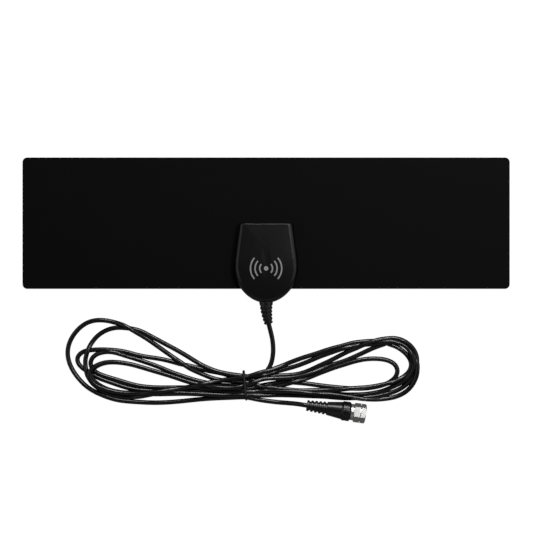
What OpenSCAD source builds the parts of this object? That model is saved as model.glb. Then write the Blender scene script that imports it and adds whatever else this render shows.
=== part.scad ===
// Flat indoor television antenna: a thin laminated panel with a clamped housing,
// a thin coaxial cable tied in a hank, and a moulded plug with a screw-on nut.
// It lies face up: X runs along the panel, Y points away from the cable, Z is up.

/* [Panel] */
// Length of the panel, along X
panel_len = 330; // [260:1:400]
// Height of the panel, along Y
panel_wid = 89; // [76:1:120]
// Corner radius of the panel
panel_corner = 3.2; // [1:0.1:8]
// Thickness of each of the two cover films
film_t = 0.3; // [0.2:0.05:0.5]
// Thickness of the foil and of the glue around it
foil_t = 0.1; // [0.05:0.01:0.2]
// Bare margin between the foil and the panel's edge
foil_margin = 6; // [3:0.5:10]
// Width of the foil's loop
foil_band = 16; // [8:1:22]
// Distance of the foil's loop from the middle of the panel
foil_inner = 20; // [17:0.5:30]
// Width of the foil's tongue that leads to the feed
foil_tongue = 5; // [4.5:0.5:6]

/* [Housing] */
// Length of the housing from the cable end to the far edge
house_len = 54; // [51:1:60]
// Largest half width of the housing
house_half = 21.8; // [20.8:0.1:24]
// Distance of the widest point from the cable end
house_wide_at = 25; // [22:0.5:28]
// How far the housing stands out past the panel's edge
house_over = 9.4; // [8.6:0.1:10.4]
// Fullness of the rounded cable end: 2 is an ellipse
house_full = 1.95; // [1.7:0.01:2.1]
// How much each side draws in for each mm towards the far edge
house_taper = 0.13; // [0.08:0.01:0.16]
// Length over which the sides turn into that taper
house_blend = 6; // [2:0.5:10]
// Corner radius at the far edge
house_corner = 1.6; // [1:0.1:2.5]
// Wall of both shells
shell_t = 1.5; // [1.2:0.1:1.8]
// Depth of the rear shell behind the panel
rear_depth = 3; // [2.8:0.1:4]
// Thickness of the rear shell's floor
rear_floor = 1.2; // [1:0.1:1.5]
// Chamfer round the rear face
rear_chamfer = 0.8; // [0.3:0.1:1]
// Height of the front face above the surface that the antenna lies on
house_top = 14.4; // [14:0.1:17]
// Drop of the front face towards the cable end
cable_drop = 2; // [0.5:0.1:2.3]
// Distance from the cable end at which that drop starts
drop_from = 32; // [28:1:36]
// Drop of the front face from the middle to its sides
side_drop = 0.5; // [0.2:0.1:1]
// Width of the rounded bevel along the sides
bevel_side = 3.7; // [2.5:0.1:4.2]
// Width of the bevel at the cable end
bevel_near = 2.5; // [1.5:0.1:3.5]
// Width of the bevel along the far edge
bevel_far = 1; // [0.6:0.1:2]
// Height of the bevel
bevel_h = 5; // [3:0.1:6]

/* [Housing screws] */
// Radius of a screw's thread
screw_r = 1; // [0.9:0.05:1.2]
// Radius of a screw's head
screw_head_r = 1.9; // [1.7:0.05:2.1]
// Height of a screw's head
screw_head_h = 1.2; // [1:0.1:1.3]
// Length of a screw under its head
screw_len = 7; // [6:0.5:8]
// Side to side distance of the two far screws
screw_far_gap = 27; // [25:0.5:28]
// Side to side distance of the two screws by the cable
screw_near_gap = 25; // [22:0.5:26]
// Distance of the far screws from the cable end
screw_far_at = 45; // [44:0.5:46]
// Distance of the near screws from the cable end
screw_near_at = 17; // [16:0.5:18]
// Wall of the bosses round the screws
boss_wall = 1.5; // [1:0.1:1.8]

/* [Circuit board] */
// Thickness of the board
board_t = 1; // [0.8:0.1:1.2]
// Gap between the panel and the board
board_gap = 0.3; // [0.2:0.05:0.5]
// Half width of the board
board_half = 16.2; // [15.4:0.1:16.6]
// Side to side distance of the two feed rivets
feed_gap = 12; // [11:0.5:14]
// Distance of the feed rivets from the cable end
feed_at = 38; // [36:0.5:38.5]
// Radius of a feed rivet
feed_r = 1; // [0.8:0.05:1.2]
// Width of the ferrite core
core_wid = 10; // [9:0.5:11]
// Length of the ferrite core, along its two holes
core_len = 5; // [4:0.5:5.5]
// Height of the ferrite core
core_h = 4.4; // [4:0.1:4.8]
// Radius of the ferrite core's holes
core_hole_r = 1.1; // [0.9:0.05:1.2]
// Radius of the winding's wire
winding_r = 0.2; // [0.15:0.01:0.25]

/* [Cable] */
// Diameter of the cable
cable_d = 3.2; // [2.6:0.1:3.4]
// Diameter of the white core
core_d = 1.9; // [1.6:0.1:2.1]
// Thickness of the braid
braid_t = 0.25; // [0.15:0.05:0.3]
// Diameter of the inner wire
wire_d = 0.5; // [0.4:0.05:0.6]
// Height of the hank of tied cable
hank_h = 8.7; // [7:0.1:9]
// Diameter of the tie round the hank
tie_d = 1.7; // [1.4:0.1:2]
// Length of the tie's loop
tie_len = 20.7; // [19:0.1:22]
// Lean of the tie to the left
tie_lean = 5.5; // [0:0.5:8]

/* [Strain relief] */
// Height of the cable's axis where it leaves the housing
exit_z = 6.5; // [6.3:0.1:6.8]
// Length of the strain relief outside the housing
relief_len = 14.2; // [12:0.1:16]
// Radius of the strain relief at the housing
relief_root_r = 4.6; // [4.2:0.1:4.7]
// Radius of the strain relief at its tip
relief_tip_r = 2.9; // [2.4:0.1:3]
// Depth of the grooves between its ribs
relief_groove = 0.45; // [0.3:0.05:0.7]
// Number of grooves
relief_grooves = 5; // [3:1:6]
// Radius of the flange that the housing traps
relief_flange_r = 5; // [4.9:0.1:5.2]
// Thickness of that flange
relief_flange_t = 1.4; // [1:0.1:1.8]
// Turn of the strain relief to the right, in degrees
relief_bend = 14; // [8:1:20]
// Drop of its tip under the cable's weight
relief_sag = 0.9; // [0.3:0.1:1.5]

/* [Plug] */
// Radius of the plug's collar, which rests on the surface
collar_r = 6.6; // [6.6:0.1:7]
// Length of the collar
collar_len = 5.6; // [5:0.1:7]
// Length of the ribbed tail of the plug
tail_len = 13.6; // [11:0.1:16]
// Radius of the tail at the cable
tail_r = 3.7; // [3.3:0.1:3.9]
// Number of ribs on the tail
tail_ribs = 5; // [4:1:6]
// Depth of the grooves between them
tail_groove = 0.75; // [0.5:0.05:1.2]
// Length of the smooth body of the plug
body_len = 10.7; // [9:0.1:14]
// Radius of the body at the ribs
body_rear_r = 4.5; // [4.3:0.05:5]
// Radius of the body at the collar
body_front_r = 5.85; // [5.3:0.05:6]
// Width of the nut across its flats
nut_flats = 11.4; // [11.2:0.1:11.4]
// Length of the nut
nut_len = 10.1; // [9.5:0.1:12]
// Radius of the nut's round shoulder
shoulder_r = 5.5; // [5.1:0.05:5.55]
// Length of that shoulder
shoulder_len = 1.9; // [1.6:0.1:2.2]
// Thickness of the nut's rear web
nut_web = 2; // [1.5:0.1:2.3]
// Inner radius of the nut's thread
thread_r = 4.4; // [4.35:0.01:4.45]
// Radius of the post's neck, on which the nut turns
post_r = 3.4; // [3.2:0.05:3.6]
// Radius of the post's flange, which keeps the nut on
flange_r = 4.2; // [4:0.05:4.3]
// Thickness of that flange
flange_t = 1; // [0.8:0.1:1.3]
// Depth to which the post is moulded into the plug
post_depth = 12; // [8:0.5:14]
// Radius of the white insulator in the post
insulator_r = 2.3; // [2:0.05:2.5]
// Radius of the middle pin
pin_r = 0.5; // [0.4:0.05:0.6]

/* [Hidden] */
$fn = 48;

gap = 0.05;           // running clearance between pieces that fit each other
loose = 0.15;         // clearance of a screw in its hole
cut = 1;              // how far a cutting tool runs past what it cuts
edge = 0.25;          // small broken edges on moulded pieces

black = [0.06, 0.06, 0.06];
grey = [0.2, 0.2, 0.2];
copper = [0.75, 0.45, 0.25];
nickel = [0.8, 0.8, 0.8];

// Frame: the origin is under the middle of the panel and housing together
tip_y = -(panel_wid + house_over) / 2;   // cable end of the housing
panel_low_y = tip_y + house_over;        // the panel's edge on the cable side
panel_mid_y = panel_low_y + panel_wid / 2;

// Heights of the layers, from the surface upwards
foil_z = rear_depth + film_t;
film_front_z = foil_z + foil_t;
panel_top_z = film_front_z + film_t;
board_z = panel_top_z + board_gap;
board_top_z = board_z + board_t;
coil_z = board_top_z + core_h / 2;       // middle of the ferrite core

// Places in the housing, measured from its cable end
screw_places = [for (side = [-1, 1])
    each [[side * screw_far_gap / 2, screw_far_at], [side * screw_near_gap / 2, screw_near_at]]];
boss_r = screw_r + boss_wall;
head_sink = 0.1;                         // the heads lie this far under the rear face
screw_seat = head_sink + screw_head_h;
board_near = screw_near_at + boss_r + 0.8;
board_far = screw_far_at - boss_r - 0.8;
board_mid = (board_near + board_far) / 2;
core_hole_x = core_wid * 0.24;
lead_feed_y = board_mid + core_len / 2 + 1.6;   // legs of the winding on the feed side
lead_cable_y = board_mid - core_len / 2 - 1.6;  // and on the cable side
braid_end_y = board_near + 1.6;
core_end_y = braid_end_y + 1.2;
wire_leg_y = core_end_y + 0.9;
braid_r = core_d / 2 + braid_t;

// The strain relief's flange bears on the inside of the wall
relief_flange_y = inner_y(relief_flange_r) + gap;
relief_in_y = relief_flange_y + relief_flange_t;
saddle_y = relief_in_y + gap;
saddle_t = 1.4;
saddle_half = 6;

// Places along the plug's axis
boot_len = tail_len + body_len + collar_len;
nut_at = boot_len + 0.15;
flange_at = nut_at + nut_web + gap;
post_end = flange_at + flange_t;
pin_end = nut_at + nut_len - 0.2;
plug_turn = -8.3;
plug_at = [27.5, -118.5, collar_r];
nut_turn = 20;
plug_dir = [cos(plug_turn), sin(plug_turn), 0];

// Route of the cable between the strain relief and the hank, and from the hank to the plug
lead_points = [
    [2.4, -66, 5.2], [3.4, -70, 4.6], [4.4, -75, 3.9], [4.8, -81, 3.1], [4.4, -86, 2.5],
    [3.5, -90, 2.1], [2, -93.3, 2]
];
lead_end_dir = [0.35, -1, 0];
tail_points = [
    [-6, -114.8, 1.6], [1, -115.9, 1.6], [8, -116.7, 1.9], [14, -117.1, 3], [20, -117.5, 4.7],
    [24, -118, 6]
];

// Outer line of the hank, left of the place where the tail leaves it and right of it
hank_left = [
    [-6, -96.2], [-15.6, -97.6], [-31, -94.6], [-45, -88.6], [-72, -73.4], [-99, -61.4],
    [-115, -59.6], [-128, -65], [-135.5, -79], [-134.5, -90], [-124, -105], [-112, -113],
    [-99, -116.4], [-70, -118.2], [-50, -116.6], [-31, -114.8], [-15.6, -114.2], [-6, -116.6]
];
hank_right = [
    [-6, -113.2], [0, -112.9], [23, -113.4], [63, -115.4], [77, -116], [89, -114.2], [98, -108.5],
    [103, -97.5], [103, -86], [95.5, -75], [84, -71.8], [70, -73.6], [50, -77], [23, -85.2],
    [9, -91.2], [2, -93.4], [-6, -96.2]
];
hank_openings = [
    [[-116, -80], [-110, -72.5], [-101, -69.4], [-90, -70.2], [-76, -79], [-66, -86.4], [-82, -83.2],
     [-98, -80.2], [-112, -79.8]],
    [[-110, -95], [-97, -91.6], [-84, -93.6], [-68, -98.4], [-57, -102.8], [-68, -105.6],
     [-84, -104.2], [-100, -99.8]],
    [[34, -103], [48, -96], [64, -90.2], [80, -89.2], [87.5, -95], [84, -100.6], [74, -103.8],
     [54, -105.2]]
];

function unit(v) = v / norm(v);
function total(pts, i = 0) = i == len(pts) - 1 ? pts[i] : pts[i] + total(pts, i + 1);
function mid(pts) = total(pts) / len(pts);
function last(l) = l[len(l) - 1];

// A rectangle with round corners, as points in clockwise order
function rounded_rect(w, h, r, steps = 6) = [
    for (q = [0:3]) for (i = [0:steps])
        let (a = 90 - 90 * q - 90 * i / steps, right = q < 2 ? 1 : -1, up = q % 3 == 0 ? 1 : -1)
            [right * (w / 2 - r) + r * cos(a), up * (h / 2 - r) + r * sin(a)]
];

// A smooth curve through a few points, each stretch cut into steps
function curve_at(a, b, c, d, t) = 0.5 * (2 * b + (c - a) * t
    + (2 * a - 5 * b + 4 * c - d) * t * t + (3 * b - a - 3 * c + d) * t * t * t);
function curve(p, steps = 4) = let (n = len(p)) concat(
    [for (i = [0:n - 2]) for (s = [0:steps - 1])
        curve_at(p[max(i - 1, 0)], p[i], p[i + 1], p[min(i + 2, n - 1)], s / steps)],
    [last(p)]);
function closed_curve(p, steps = 4) = let (n = len(p)) [
    for (i = [0:n - 1]) for (s = [0:steps - 1])
        curve_at(p[(i + n - 1) % n], p[i], p[(i + 1) % n], p[(i + 2) % n], s / steps)];

// One solid through rings with equal numbers of points, each clockwise as seen from the
// end. The ends are capped, or with loop set the last ring joins the first.
module skin(rings, loop = false) {
    n = len(rings[0]);
    m = len(rings);
    sides = [for (k = [0:m - (loop ? 1 : 2)]) for (i = [0:n - 1])
        let (j = (i + 1) % n, a = k * n, b = ((k + 1) % m) * n)
            each [[a + i, a + j, b + j], [a + i, b + j, b + i]]];
    caps = loop ? [] : [mid(rings[0]), mid(last(rings))];
    ends = loop ? [] : [for (i = [0:n - 1]) let (j = (i + 1) % n, b = (m - 1) * n)
        each [[n * m, j, i], [n * m + 1, b + i, b + j]]];
    polyhedron(concat([for (r = rings) each r], caps), concat(sides, ends), convexity = 8);
}

// A circle of points round a place on a path that runs along dir
function ring(at, dir, r, sides, side_ref = [0, 0, 1]) =
    let (d = unit(dir), u = unit(cross(d, side_ref)), v = cross(u, d))
        [for (i = [0:sides - 1]) let (a = 360 * i / sides) at + r * (u * cos(a) + v * sin(a))];

// A round tube along a path, with its first and last faces square to the given directions
module tube(pts, r, start_dir, end_dir, sides = 8, side_ref = [0, 0, 1]) {
    n = len(pts);
    skin([for (i = [0:n - 1])
        let (dir = i == 0 ? start_dir : i == n - 1 ? end_dir : pts[i + 1] - pts[i - 1])
            ring(pts[i], dir, r, sides, side_ref)]);
}

// Plan of the housing, with its cable end at the origin and its own inset on each side
round_steps = 40;
side_steps = 6;
corner_steps = 5;
function half_at(y, half) = let (t = max(0, y - house_wide_at)) half - house_taper
    * (t < house_blend ? t * t / (2 * house_blend) : t - house_blend / 2);
function house_outline(side = 0, near = 0, far = 0) =
    let (half = house_half - side, top = house_len - far,
         r = max(0.3, house_corner - min(side, far)), w = half_at(top - r, half))
    concat(
        [for (i = [0:round_steps])
            let (a = 180 * i / round_steps, c = cos(a), s = abs(sin(a)))
                [half * sign(c) * pow(abs(c), 2 / house_full),
                 house_wide_at - (house_wide_at - near) * pow(s, 2 / house_full)]],
        [for (i = [1:side_steps])
            let (y = house_wide_at + (top - r - house_wide_at) * i / side_steps)
                [-half_at(y, half), y]],
        [for (i = [1:corner_steps]) let (a = 180 - 90 * i / corner_steps)
            [r - w + r * cos(a), top - r + r * sin(a)]],
        [for (i = [0:corner_steps - 1]) let (a = 90 - 90 * i / corner_steps)
            [w - r + r * cos(a), top - r + r * sin(a)]],
        [for (i = [side_steps:-1:1])
            let (y = house_wide_at + (top - r - house_wide_at) * i / side_steps)
                [half_at(y, half), y]]
    );
// Distance of the wall's inner face from the cable end, at a distance x from the middle
function inner_y(x) = house_wide_at - (house_wide_at - shell_t)
    * pow(1 - pow(x / (house_half - shell_t), house_full), 1 / house_full);

// Height of the front face, which is crowned and falls towards the cable
function face_z(p) = house_top - cable_drop * pow(max(0, 1 - p.y / drop_from), 2)
    - side_drop * pow(p.x / house_half, 2);

// Rings of the front shell's outside, or with a wall of its inside, from the panel upwards
bevel_steps = 8;
face_steps = 4;
function face_ring(inset, part, drop, wall) = [
    for (p = house_outline(wall + bevel_side * part + inset, wall + bevel_near * part + inset,
                           wall + bevel_far * part + inset))
        [p.x, p.y, face_z(p) - wall - drop]];
function front_rings(wall, base_z) = concat(
    [[for (p = house_outline(wall, wall, wall)) [p.x, p.y, base_z]]],
    [for (i = [0:bevel_steps]) let (a = 90 * i / bevel_steps)
        face_ring(0, 1 - cos(a), bevel_h * (1 - sin(a)), wall)],
    [for (i = [1:face_steps])
        face_ring((house_half - bevel_side - wall) * 0.8 * i / face_steps, 1, 0, wall)]
);

module at_housing() translate([0, tip_y, 0]) children();
module at_screws() for (p = screw_places) translate(p) children();
module at_feeds() for (side = [-1, 1]) translate([side * feed_gap / 2, feed_at]) children();

// A column from one height up to the middle of the front face's wall
module ceiling_column(p, r, low_z)
    translate([p.x, p.y, low_z]) cylinder(r = r, h = face_z(p) - shell_t / 2 - low_z);

// A round rod along the cable's axis, between two distances from the cable end
module axis_rod(r, from_y, to_y) translate([0, from_y, exit_z]) rotate([-90, 0, 0])
    cylinder(r = r, h = to_y - from_y);

// Room for the strain relief, its flange and the cable behind it
module cable_room() {
    axis_rod(relief_root_r + gap, -cut, relief_flange_y);
    axis_rod(relief_flange_r + gap, relief_flange_y - gap, relief_in_y + gap / 2);
    axis_rod(cable_d / 2 + gap, 0, board_near);
}

module panel_plan() translate([0, panel_mid_y]) polygon(rounded_rect(panel_len, panel_wid, panel_corner));

module panel_holes() at_housing() {
    at_screws() circle(r = screw_r + 2 * loose);
    at_feeds() circle(r = feed_r + gap);
}

// One half of the foil: a loop with a tongue to its feed rivet
module foil_plan() {
    w = panel_len / 2 - foil_margin - foil_inner;
    h = panel_wid - 2 * foil_margin;
    tongue_x = feed_gap / 2 - foil_tongue / 2;
    tongue_y = tip_y + feed_at - foil_tongue / 2;
    middle = [foil_inner + w / 2, panel_mid_y];
    outline = [for (p = rounded_rect(w, h, 5)) p + middle];
    corner = len(outline) / 4;                // points round each corner
    difference() {
        polygon(concat(
            [for (i = [0:3 * corner - 1]) outline[i]],
            [[foil_inner, tongue_y], [tongue_x, tongue_y],
             [tongue_x, tongue_y + foil_tongue], [foil_inner, tongue_y + foil_tongue]],
            [for (i = [3 * corner:4 * corner - 1]) outline[i]]));
        translate(middle) polygon(rounded_rect(w - 2 * foil_band, h - 2 * foil_band, 3));
    }
}

module panel_film(z) color(black) translate([0, 0, z]) linear_extrude(film_t) difference() {
    panel_plan();
    panel_holes();
}

module panel_front_film() panel_film(film_front_z);

module panel_rear_film() panel_film(rear_depth);

module panel_glue() color([0.85, 0.85, 0.8]) translate([0, 0, foil_z]) linear_extrude(foil_t)
    difference() {
        panel_plan();
        foil_plan();
        mirror([1, 0, 0]) foil_plan();
        panel_holes();
    }

module foil() color([0.8, 0.8, 0.82]) translate([0, 0, foil_z]) linear_extrude(foil_t) difference() {
    foil_plan();
    panel_holes();
}

module foil_right() foil();

module foil_left() mirror([1, 0, 0]) foil();

module housing_front() color(grey) at_housing() difference() {
    union() {
        difference() {
            skin(front_rings(0, panel_top_z));
            skin(front_rings(shell_t, panel_top_z - cut));
        }
        for (p = screw_places) ceiling_column(p, boss_r, panel_top_z);
        for (side = [-1, 1]) ceiling_column([side * (board_half - 2), board_mid], 1.2, board_top_z);
        translate([-saddle_half, saddle_y, exit_z + gap])
            cube([2 * saddle_half, saddle_t, face_z([saddle_half, saddle_y]) - shell_t / 2 - exit_z - gap]);
    }
    at_screws() translate([0, 0, panel_top_z - cut])
        cylinder(r = screw_r + gap, h = cut + screw_seat + screw_len + 0.5 - panel_top_z);
    cable_room();
}

module housing_rear() color(grey) at_housing() difference() {
    union() {
        difference() {
            intersection() {
                linear_extrude(panel_top_z) polygon(house_outline());
                skin([for (level = [[-cut, rear_chamfer + cut], [rear_chamfer + 0.5, -0.5], [panel_top_z + cut, -0.5]])
                    [for (p = house_outline(level[1], level[1], level[1])) [p.x, p.y, level[0]]]]);
            }
            translate([-house_half - cut, house_over - gap, rear_depth])
                cube([2 * (house_half + cut), house_len, rear_depth]);
            translate([0, 0, rear_floor]) linear_extrude(panel_top_z)
                polygon(house_outline(shell_t, shell_t, shell_t));
        }
        at_screws() translate([0, 0, rear_floor / 2])
            cylinder(r = screw_head_r + boss_wall, h = rear_depth - rear_floor / 2);
        translate([-saddle_half, saddle_y, rear_floor / 2])
            cube([2 * saddle_half, saddle_t, exit_z - gap - rear_floor / 2]);
    }
    at_screws() {
        translate([0, 0, -cut]) cylinder(r = screw_head_r + loose, h = cut + screw_seat);
        cylinder(r = screw_r + loose, h = rear_depth + cut);
    }
    cable_room();
}

module housing_screws() color(nickel) at_housing() at_screws() difference() {
    union() {
        translate([0, 0, head_sink]) cylinder(r1 = screw_head_r - edge, r2 = screw_head_r, h = edge);
        translate([0, 0, head_sink + edge]) cylinder(r = screw_head_r, h = screw_head_h - edge);
        translate([0, 0, screw_seat]) cylinder(r = screw_r, h = screw_len - screw_r);
        translate([0, 0, screw_seat + screw_len - screw_r]) cylinder(r1 = screw_r, r2 = 0.2, h = screw_r);
    }
    for (turn = [0, 90]) rotate([0, 0, turn]) translate([-screw_r, -0.3, 0])
        cube([2 * screw_r, 0.6, head_sink + screw_head_h / 2]);
}

module circuit_board() color("darkgreen") at_housing() translate([0, 0, board_z])
    linear_extrude(board_t) difference() {
        translate([0, board_mid]) polygon(rounded_rect(2 * board_half, board_far - board_near, 1));
        at_feeds() circle(r = feed_r + gap);
    }

module feed_spacers() color(nickel) at_housing() at_feeds() translate([0, 0, panel_top_z])
    linear_extrude(board_gap) difference() {
        circle(r = feed_r + 1.2);
        circle(r = feed_r + gap);
    }

module feed_rivets() color("goldenrod") at_housing() at_feeds() difference() {
    union() {
        translate([0, 0, rear_depth - 0.5]) cylinder(r1 = feed_r + 0.5, r2 = feed_r + 0.9, h = 0.5);
        translate([0, 0, rear_depth]) cylinder(r = feed_r, h = board_top_z - rear_depth);
        translate([0, 0, board_top_z]) cylinder(r1 = feed_r + 0.7, r2 = feed_r + 0.2, h = 0.5);
    }
    cylinder(r = feed_r / 2, h = board_top_z + cut);
}

module balun_core() color("dimgray") at_housing() translate([0, board_mid + core_len / 2, coil_z])
    rotate([90, 0, 0]) linear_extrude(core_len) difference() {
        polygon(rounded_rect(core_wid, core_h, core_h / 2 - 0.1));
        for (side = [-1, 1]) translate([side * core_hole_x, 0]) circle(r = core_hole_r);
    }

// Two closed turns through both holes, and one lead through each hole with a leg on either side
module balun_winding() color(copper) at_housing() {
    turn_gap = 2.5 * winding_r;
    for (level = [-1, 1]) translate([0, board_mid, coil_z + level * turn_gap]) {
        path = rounded_rect(2 * core_hole_x, core_len + 4 * winding_r + 0.4, 0.6, 3);
        n = len(path);
        skin([for (i = [0:n - 1]) let (d = path[(i + 1) % n] - path[(i + n - 1) % n])
            ring([path[i].x, path[i].y, 0], [d.x, d.y, 0], winding_r, 8)], loop = true);
    }
    for (side = [-1, 1]) {
        x = side * core_hole_x;
        feed_x = side * feed_gap * 0.4;
        tube([
            [feed_x, lead_feed_y, board_top_z], [feed_x, lead_feed_y, coil_z - 0.6],
            [feed_x - side * 0.5, lead_feed_y - 0.2, coil_z], [x, lead_feed_y - 1.2, coil_z],
            [x, lead_cable_y + 0.6, coil_z], [x, lead_cable_y, coil_z - 0.6], [x, lead_cable_y, board_top_z]
        ], winding_r, [0, 0, 1], [0, 0, -1], side_ref = [1, 0, 0]);
    }
}

module chip_parts() color("tan") at_housing()
    for (side = [-1, 1], place = [[7, -6], [9.5, -6], [12, 4]])
        translate([side * place.x - 0.4, board_mid + place.y - 0.8, board_top_z]) cube([0.8, 1.6, 0.6]);

// Solder: a cone round each leg on the board, and a fillet under the braid
module solder_cone(leg_r) difference() {
    cylinder(r1 = leg_r + 0.6, r2 = leg_r + 0.1, h = 0.7);
    translate([0, 0, -cut]) cylinder(r = leg_r, h = 3 * cut);
}

module solder_joints() color("silver") at_housing() {
    for (side = [-1, 1]) {
        translate([side * feed_gap * 0.4, lead_feed_y, board_top_z]) solder_cone(winding_r);
        translate([side * core_hole_x, lead_cable_y, board_top_z]) solder_cone(winding_r);
    }
    translate([0, wire_leg_y, board_top_z]) solder_cone(wire_d / 2);
    difference() {
        translate([0, braid_end_y - 0.2, 0]) rotate([90, 0, 0]) linear_extrude(1.2)
            polygon([[-2.2, board_top_z], [2.2, board_top_z], [1.3, exit_z - 0.2], [-1.3, exit_z - 0.2]]);
        axis_rod(braid_r, 0, board_far);
    }
}

// One stretch of the cable's stripped end
module cable_stub(r, from_y, to_y) at_housing() axis_rod(r, from_y, to_y);

module cable_jacket_end() color(black) cable_stub(cable_d / 2, relief_in_y, board_near - 0.8);

module cable_braid_end() color(nickel) cable_stub(braid_r, board_near - 0.8, braid_end_y);

module cable_core_end() color("white") cable_stub(core_d / 2, braid_end_y, core_end_y);

module cable_wire_end() color(copper) at_housing() tube([
        [0, core_end_y, exit_z], [0, wire_leg_y - 0.4, exit_z], [0, wire_leg_y, exit_z - 0.4],
        [0, wire_leg_y, board_top_z]
    ], wire_d / 2, [0, 1, 0], [0, 0, -1], side_ref = [1, 0, 0]);

// The strain relief runs straight through the wall, then bends and narrows
relief_turn_r = relief_len / (relief_bend * PI / 180);
function relief_place(t) = let (a = relief_bend * max(t, 0) / relief_len)
    [relief_turn_r * (1 - cos(a)), t < 0 ? -t : -relief_turn_r * sin(a),
     exit_z - relief_sag * pow(max(t, 0) / relief_len, 2)];
function relief_dir(t) = let (a = relief_bend * max(t, 0) / relief_len)
    [sin(a), -cos(a), -2 * relief_sag * max(t, 0) / (relief_len * relief_len)];
function relief_r(t) = relief_root_r + (relief_tip_r - relief_root_r) * t / relief_len;
groove_half = 0.55;
groove_slope = 0.15;

module strain_relief() color(black) at_housing() {
    pitch = relief_len / (relief_grooves + 0.6);
    stations = concat(
        [[-relief_in_y, relief_flange_r], [-relief_flange_y, relief_flange_r],
         [-relief_flange_y, relief_root_r], [0, relief_root_r]],
        [for (i = [1:relief_grooves]) let (t = pitch * (i - 0.1), r = relief_r(t))
            each [[t - groove_half, r], [t - groove_half + groove_slope, r - relief_groove],
                  [t + groove_half - groove_slope, r - relief_groove], [t + groove_half, r]]],
        [[relief_len - edge, relief_tip_r], [relief_len, relief_tip_r - edge]]
    );
    skin([for (s = stations) ring(relief_place(s[0]), relief_dir(s[0]), s[1], 24)]);
}

module cable_lead() color(black) tube(
    concat([relief_place(relief_len) + [0, tip_y, 0]], lead_points),
    cable_d / 2, relief_dir(relief_len), lead_end_dir);

module cable_tail() color(black)
    tube(concat(tail_points, [plug_at]), cable_d / 2, [1, 0, 0], plug_dir);

// The tie is a slanting loop round the hank, drawn in a frame of its own
tie_at = [-14.3, -105.05];
tie_low = tie_d / 2;                         // its lowest strand lies on the surface
tie_top = hank_h - 0.3;
module at_tie() translate(tie_at) rotate([0, 0, tie_lean]) rotate([90, 0, 90])
    translate([0, (tie_low + tie_top) / 2, 0]) children();
tie_path_w = tie_len - tie_d;
tie_path_h = tie_top - tie_low;
tie_bend = 2.6;

module cable_tie() color(black) at_tie() {
    path = rounded_rect(tie_path_w, tie_path_h, tie_bend, 5);
    n = len(path);
    skin([for (i = [0:n - 1]) let (d = path[(i + 1) % n] - path[(i + n - 1) % n])
        ring([path[i].x, path[i].y, 0], [d.x, d.y, 0], tie_d / 2, 8)], loop = true);
}

// The tied bundle: one body for its lobes, with a groove where the tie goes round it
module cable_hank() color(black) difference() {
    linear_extrude(hank_h) difference() {
        polygon(concat(curve(hank_left), curve(hank_right)));
        for (opening = hank_openings) polygon(closed_curve(opening));
    }
    at_tie() translate([0, 0, -tie_d / 2 - gap]) linear_extrude(tie_d + 2 * gap) difference() {
        square([2 * tie_len, 3 * hank_h], center = true);
        polygon(rounded_rect(tie_path_w - tie_d - 2 * gap, tie_path_h - tie_d - 2 * gap,
                             tie_bend - tie_d / 2, 5));
    }
}

module at_plug() translate(plug_at) rotate([0, 0, plug_turn]) rotate([0, 90, 0]) children();

// Outer line of the moulded plug, as [radius, distance] from the cable to the nut
rib_pitch = tail_len / tail_ribs;
rib_len = rib_pitch * 0.6;
collar_at = tail_len + body_len;
function rib_line(i) = let (r = tail_r + (body_rear_r - tail_r) * i / tail_ribs, z = rib_pitch * i)
    [[r - edge, z], [r, z + edge], [r, z + rib_len - edge], [r - edge, z + rib_len],
     [r - tail_groove, z + rib_len + edge], [r - tail_groove, z + rib_pitch]];
function collar_groove(z) = [[collar_r, z], [collar_r - 0.25, z + 0.1], [collar_r - 0.25, z + 0.35],
     [collar_r, z + 0.45]];
collar_round = 1.5;

module plug_boot() color(black) at_plug() rotate_extrude($fn = 64) polygon(concat(
    [[0, 0]],
    [for (i = [0:tail_ribs - 1]) each rib_line(i)],
    [[body_rear_r - edge, tail_len], [body_rear_r, tail_len + edge], [body_front_r, collar_at - 0.8],
     [body_front_r + 0.2, collar_at - 0.3], [collar_r - 0.4, collar_at], [collar_r, collar_at + 0.4]],
    [for (i = [0:2]) each collar_groove(collar_at + 1.1 + i)],
    [for (a = [0:15:90])
        [collar_r - collar_round * (1 - cos(a)), boot_len - collar_round * (1 - sin(a))]],
    [[post_r, boot_len], [post_r, boot_len - post_depth], [0, boot_len - post_depth]]
));

module plug_post() color(nickel) at_plug() rotate_extrude() polygon([
    [insulator_r, boot_len - post_depth], [post_r, boot_len - post_depth], [post_r, flange_at],
    [flange_r, flange_at], [flange_r, post_end - 0.2], [flange_r - 0.2, post_end], [insulator_r, post_end]
]);

// The pin seats on the insulator's front face and runs back through it on the cable's thin wire
pin_root = boot_len - post_depth + 2;
module plug_insulator() color("white") at_plug() rotate_extrude() polygon([
    [0, boot_len - post_depth], [insulator_r, boot_len - post_depth], [insulator_r, post_end],
    [wire_d / 2, post_end], [wire_d / 2, pin_root], [0, pin_root]
]);

module plug_pin() color(copper) at_plug() rotate_extrude() polygon([
    [0, pin_root], [wire_d / 2, pin_root], [wire_d / 2, post_end], [pin_r, post_end],
    [pin_r, pin_end - 0.3], [pin_r / 2, pin_end], [0, pin_end]
]);

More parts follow.
